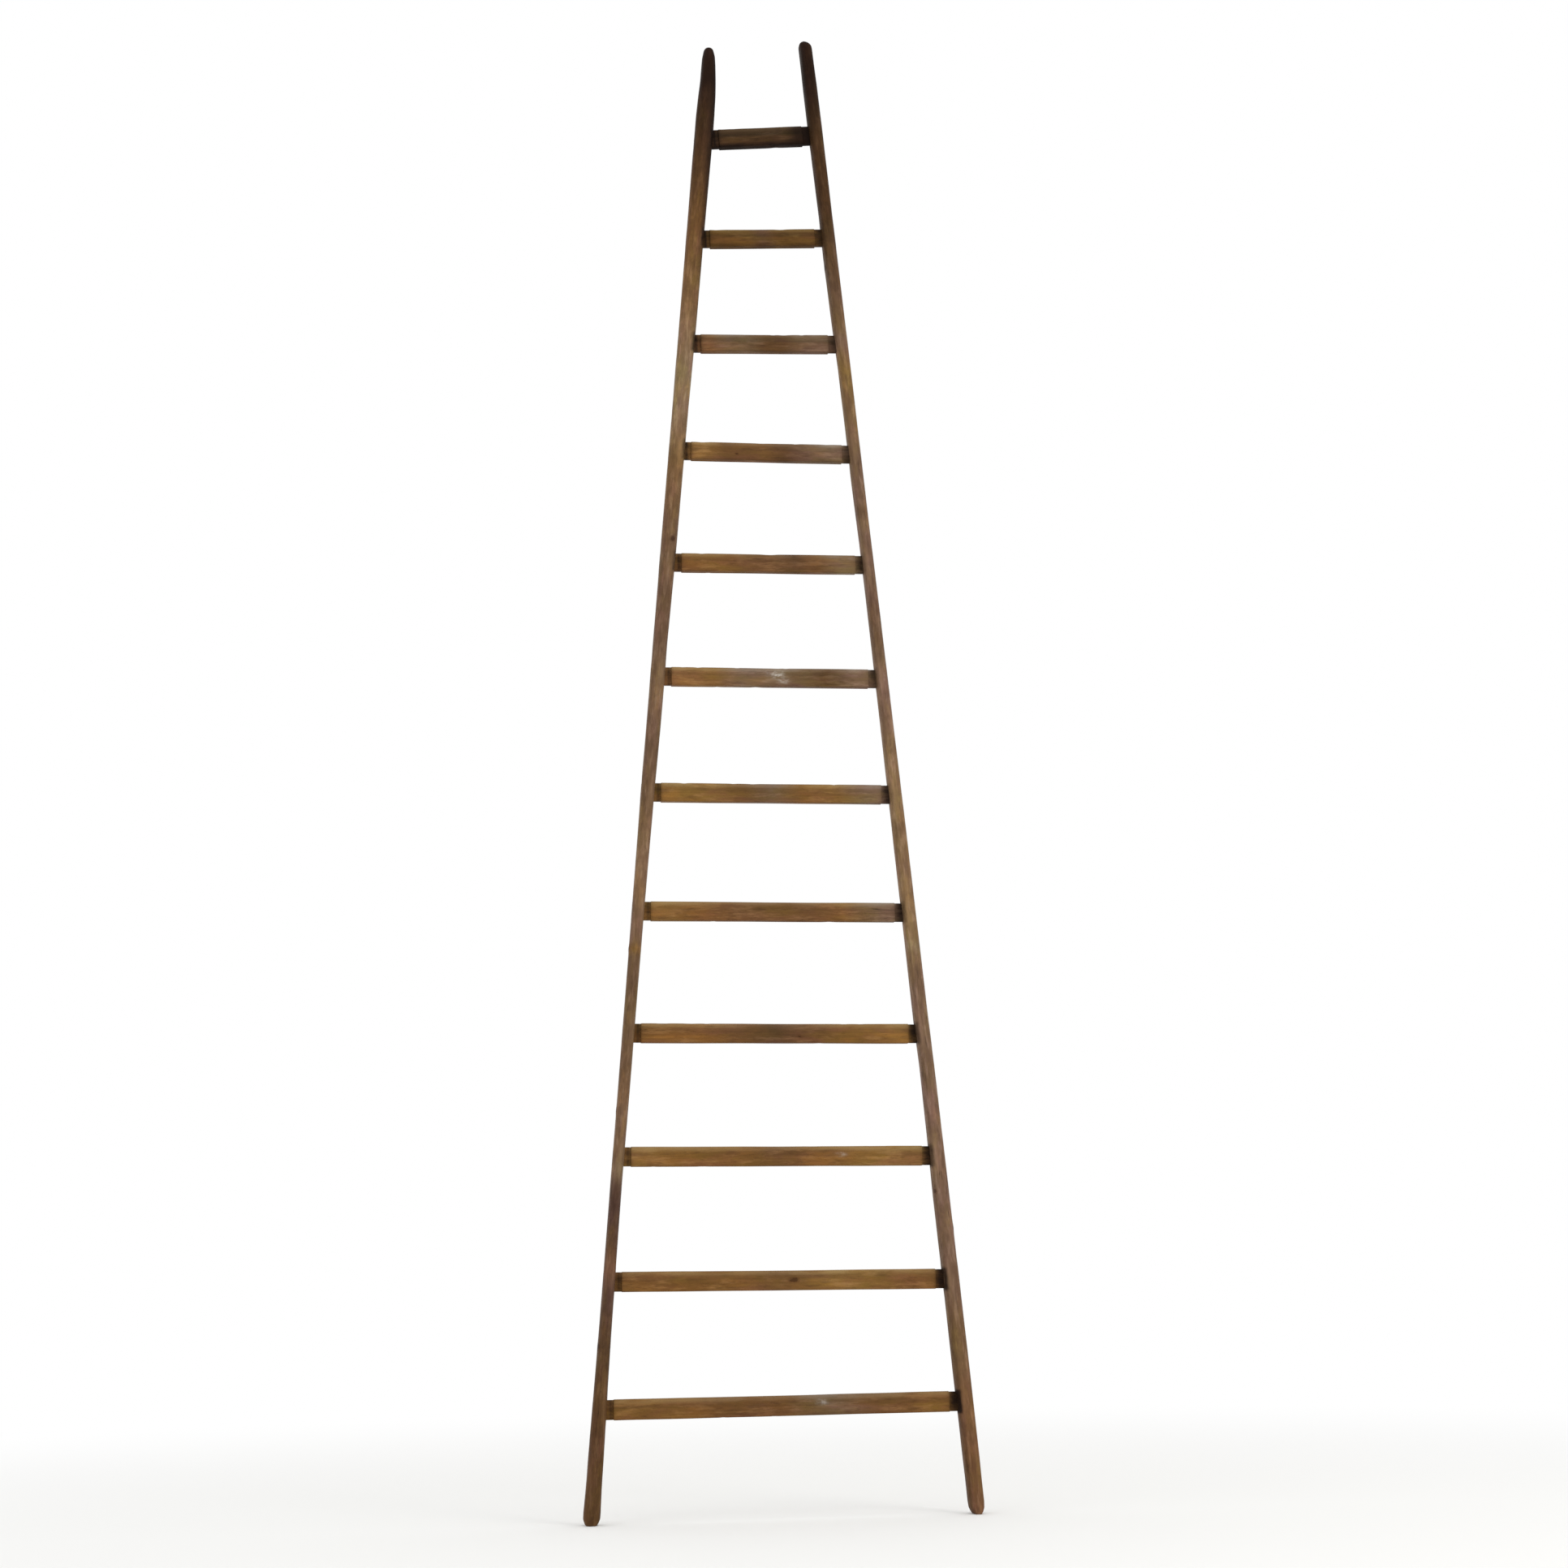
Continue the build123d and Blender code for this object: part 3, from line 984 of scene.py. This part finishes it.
    # Roughness and bump.
    gloss = g.remap(g.noise(place, 45, 9, 4), 0.3, 0.7, 0.46, 0.66)
    gloss = g.math("SUBTRACT", gloss, g.math("MULTIPLY", worn, 0.1))
    gloss = g.math("ADD", gloss, g.math("MULTIPLY", grime, 0.12))
    height = g.math("MULTIPLY", fibre, 0.35)
    height = g.math("ADD", height, g.math("MULTIPLY", late, 0.25))
    height = g.math("SUBTRACT", height, g.math("MULTIPLY", pores, 0.6))
    height = g.math("SUBTRACT", height, g.math("MULTIPLY", check, 2.5))
    height = g.math("ADD", height, g.math("MULTIPLY", g.noise(place, 140, 60, 3), 0.7))
    height = g.math("ADD", height, g.math("MULTIPLY", fleck, 0.5))
    bump = g.node("ShaderNodeBump", {"Height": height, "Strength": 0.55, "Distance": 0.0006})
    g.links.new(colour, g.shader.inputs["Base Color"])
    g.links.new(gloss, g.shader.inputs["Roughness"])
    g.links.new(bump.outputs[0], g.shader.inputs["Normal"])
    g.shader.inputs["Specular IOR Level"].default_value = 0.06
    return g.material


def seen(red, green, blue):
    """The surface colour that looks like a screen colour in this scene's light."""
    return tuple(value * SEEN_TO_SURFACE for value in srgb(red, green, blue)[:3])


SEEN_TO_SURFACE = 1.06
# The near-black brown of dirt and of painted shade; the cracks use it too.
GRIME_AND_SHADE = (*seen(24, 14, 9), 1)
FLECK = (*seen(214, 208, 198), 1)
PATINAS = {
    "pale": seen(136, 115, 88),
    "tan": seen(120, 96, 73),
    "dun": seen(110, 86, 64),
    "rose": seen(124, 99, 80),
    "sand": seen(134, 108, 80),
    "ochre": seen(126, 99, 64),
    "gold": seen(130, 96, 54),
    "honey": seen(121, 86, 47),
    "oak": seen(111, 79, 48),
    "brown": seen(94, 68, 44),
    "amber": seen(100, 71, 34),
    "russet": seen(120, 88, 61),
    "plum": seen(88, 66, 52),
    "umber": seen(74, 52, 31),
    "soot": seen(71, 50, 30),
    "black": seen(41, 25, 15),
}
# A rail's patinas are evenly spaced from the foot to the tip.  Its marks are (height, reach,
# patina, strength), its inner shade is (height, amount) of painted shade on the side towards the
# rungs, and its joint dirt and shade (dirt and painted shade) is beside each rung, from the lowest up.
LEFT_LOOKS = {
    "patinas": (
        "brown brown plum plum tan dun dun sand dun tan dun dun ochre pale ochre oak umber black"
    ).split(),
    "marks": [
        (0.765, 0.022, "pale", 0.7),
        (0.70, 0.05, "plum", 0.6),
        (0.56, 0.04, "russet", 0.6),
        (0.83, 0.04, "tan", 0.7),
        (1.02, 0.06, "dun", 0.6),
        (1.27, 0.012, "gold", 0.7),
        (2.30, 0.02, "dun", 0.6),
        (2.62, 0.07, "pale", 0.6),
        (3.53, 0.06, "black", 1.0),
    ],
    "inner_shade": [(0, 0.1), (2.5, 0.1), (2.9, 0.4), (3.1, 0.7), (3.3, 0.8), (3.55, 0.5)],
    "joint_dirt_and_shade": [0.1, 0.1, 0.0, 0.0, 0.0, 0.2, 0.2, 0.6, 0.7, 0.8, 0.9, 1.0],
}
RIGHT_LOOKS = {
    "patinas": (
        "russet russet tan rose rose rose sand sand sand rose dun rose tan ochre dun soot umber black"
    ).split(),
    "marks": [
        (0.95, 0.06, "rose", 0.5),
        (0.33, 0.05, "sand", 0.5),
        (1.16, 0.08, "rose", 0.5),
        (1.275, 0.014, "pale", 0.9),
        (1.56, 0.02, "dun", 0.7),
        (2.2, 0.03, "rose", 0.7),
        (2.33, 0.014, "plum", 0.6),
        (2.76, 0.03, "rose", 0.8),
        (3.45, 0.08, "black", 0.8),
    ],
    "inner_shade": [(0, 0.5), (0.35, 0.45), (0.8, 0.2), (1.4, 0.15), (2.6, 0.15), (3.2, 0.35)],
    "joint_dirt_and_shade": [1.0, 0.9, 0.7, 0.6, 0.5, 0.4, 0.4, 0.4, 0.2, 0.2, 0.2, 0.4],
}
# Patinas evenly spaced from the left shoulder to the right one, from the lowest rung up.
RUNG_PATINAS = [
    "honey honey oak oak dun oak honey",
    "honey honey honey oak gold gold honey",
    "gold honey honey oak honey gold gold",
    "honey honey oak brown oak honey gold",
    "gold honey oak oak oak honey tan",
    "gold gold oak dun honey gold tan",
    "gold gold tan tan dun brown tan",
    "honey honey oak oak brown oak tan",
    "gold oak oak oak brown dun tan",
    "oak dun dun brown brown dun dun",
    "amber amber amber brown amber amber amber",
    "soot soot soot soot soot soot black",
]
# Dirt and painted shade on each rung's left neck and right neck, and painted shade on its lower face,
# from the lowest rung up.
LEFT_NECK_DIRT_AND_SHADE = [0.66, 0.74, 0.68, 0.7, 0.72, 0.72, 0.72, 0.85, 0.9, 0.95, 0.95, 1.0]
RIGHT_NECK_DIRT_AND_SHADE = [1.0, 1.0, 0.98, 0.95, 0.88, 0.88, 0.74, 0.78, 0.72, 0.68, 0.74, 0.95]
RUNG_BOTTOM_SHADE = [0.1, 0.1, 0.1, 0.1, 0.1, 0.1, 0.15, 0.15, 0.3, 0.15, 0.45, 0.9]
# Whitish scuffs by rung, as (share of the board's length, height in mm, reach in mm, strength).
FLECKS = {
    1: [(0.615, 6, 10, 0.6)],
    3: [(0.72, 3, 9, 0.35)],
    7: [(0.53, 6, 17, 0.7), (0.565, -9, 12, 0.5)],
}
# Knots by rung, as (share of the board's length, height in mm, reach in mm).
RUNG_KNOTS = {2: [(0.545, 1, 15)], 4: [(0.59, -6, 8)], 9: [(0.3, -8, 6)]}


# ---------------------------------------------------------------- stage


def soft_light(name, place, target, size, power, colour):
    """A rectangular area light that looks at a target."""
    data = bpy.data.lights.new(name, "AREA")
    data.shape = "RECTANGLE"
    data.size, data.size_y = size
    data.energy = power
    data.color = colour
    light = bpy.data.objects.new(name, data)
    light.location = place
    light.rotation_mode = "QUATERNION"
    light.rotation_quaternion = (Vector(target) - Vector(place)).to_track_quat("-Z", "Y")
    bpy.context.scene.collection.objects.link(light)


def build_floor():
    """A pale floor that fades to white away from the ladder."""
    mesh = bpy.data.meshes.new("floor")
    turns = [2 * math.pi * k / FLOOR_SIDES for k in range(FLOOR_SIDES)]
    rim = [(FLOOR_RADIUS * math.cos(t), FLOOR_RADIUS * math.sin(t), 0) for t in turns]
    mesh.from_pydata(rim, [], [tuple(range(FLOOR_SIDES))])
    floor = bpy.data.objects.new("floor", mesh)
    bpy.context.scene.collection.objects.link(floor)
    g = Graph("floor_pale")
    g.shader.inputs["Base Color"].default_value = srgb(240, 240, 238)
    g.shader.inputs["Roughness"].default_value = 0.9
    place = g.node("ShaderNodeTexCoord").outputs["Object"]
    share = g.remap(g.length(place), FLOOR_FADE_START, FLOOR_FADE_END)
    glow = g.node("ShaderNodeEmission", {"Color": (1, 1, 1, 1), "Strength": 1.0}).outputs[0]
    mixed = g.node("ShaderNodeMixShader", {0: share, 1: g.shader.outputs[0], 2: glow}).outputs[0]
    g.links.new(mixed, g.nodes["Material Output"].inputs["Surface"])
    mesh.materials.append(g.material)


def build_light():
    """White surroundings, a large soft light from the front right, and a weaker one."""
    world = bpy.data.worlds.new("white")
    world.use_nodes = True
    world.node_tree.nodes["Background"].inputs["Color"].default_value = (1, 1, 1, 1)
    world.node_tree.nodes["Background"].inputs["Strength"].default_value = 1.0
    bpy.context.scene.world = world
    middle = (0, 0, cad_high.z / 2)
    soft_light("key", (2.6, -3.6, 3.4), middle, size=(1.6, 2.6), power=42, colour=(1.0, 0.97, 0.93))
    soft_light("fill", (-3.4, -2.6, 2.0), middle, size=(2.0, 3.0), power=8, colour=(0.97, 0.98, 1.0))
    bpy.context.scene.view_settings.view_transform = "Standard"


# The camera stands a little to the left of the ladder, low, and looks up and to the right.
CAMERA_PLACE = Vector((-0.6617, -5.564, 0.5125))
CAMERA_YAW = math.radians(-7.06)
CAMERA_PITCH = math.radians(11.58)
CAMERA_ROLL = math.radians(1.11)
CAMERA_LENS = 55.9
CAMERA_SENSOR = 36


def build_camera():
    """The camera at the viewing angle of an upright ladder."""
    data = bpy.data.cameras.new("camera")
    data.lens = CAMERA_LENS
    data.sensor_width = CAMERA_SENSOR
    data.clip_end = 200
    camera = bpy.data.objects.new("camera", data)
    turn = Matrix.Rotation(CAMERA_YAW, 4, "Z") @ Matrix.Rotation(math.pi / 2 + CAMERA_PITCH, 4, "X")
    turn = turn @ Matrix.Rotation(-CAMERA_ROLL, 4, "Z")
    camera.matrix_world = Matrix.Translation(CAMERA_PLACE) @ turn
    bpy.context.scene.collection.objects.link(camera)
    bpy.context.scene.camera = camera


# ---------------------------------------------------------------- the ladder

rail_wood = wood("rail_wood")
rung_wood = wood(
    "rung_wood",
    ring_width=2.6 * MM,
    pith=(0.05, 0.012, 0.0),
    # the rungs' pale bluish top: wear and a painted highlight
    worn_tint=(1.3, 1.62, 2.1),
    patch_share=0.5,
    dapple_share=0.0,
)
wedge_wood = wood("wedge_wood", ring_width=1.6 * MM)
peg_wood = wood("peg_wood", ring_width=1.4 * MM)

rung_nodes = sorted(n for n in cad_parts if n.startswith("rung_") and "wedge" not in n)
rungs = [Rung(node) for node in rung_nodes]
for side, looks, seed in (("left", LEFT_LOOKS, 11), ("right", RIGHT_LOOKS, 23)):
    ends = [r.left_end.z if side == "left" else r.place(r.length, 0, 0).z for r in rungs]
    rail = Rail(f"{side}_rail", ends)
    pegs = peg_places(f"{side}_rail_pegs")
    build_rail(rail, seed, rungs, pegs, looks, rail_wood)
    build_pegs(rail, f"{side}_rail_pegs", pegs, peg_wood)
for number, rung in enumerate(rungs, 1):
    build_rung(rung, number, rung_wood)
    for side in ("left", "right"):
        build_wedge(rung, number, side, wedge_wood)

build_floor()
build_light()
build_camera()
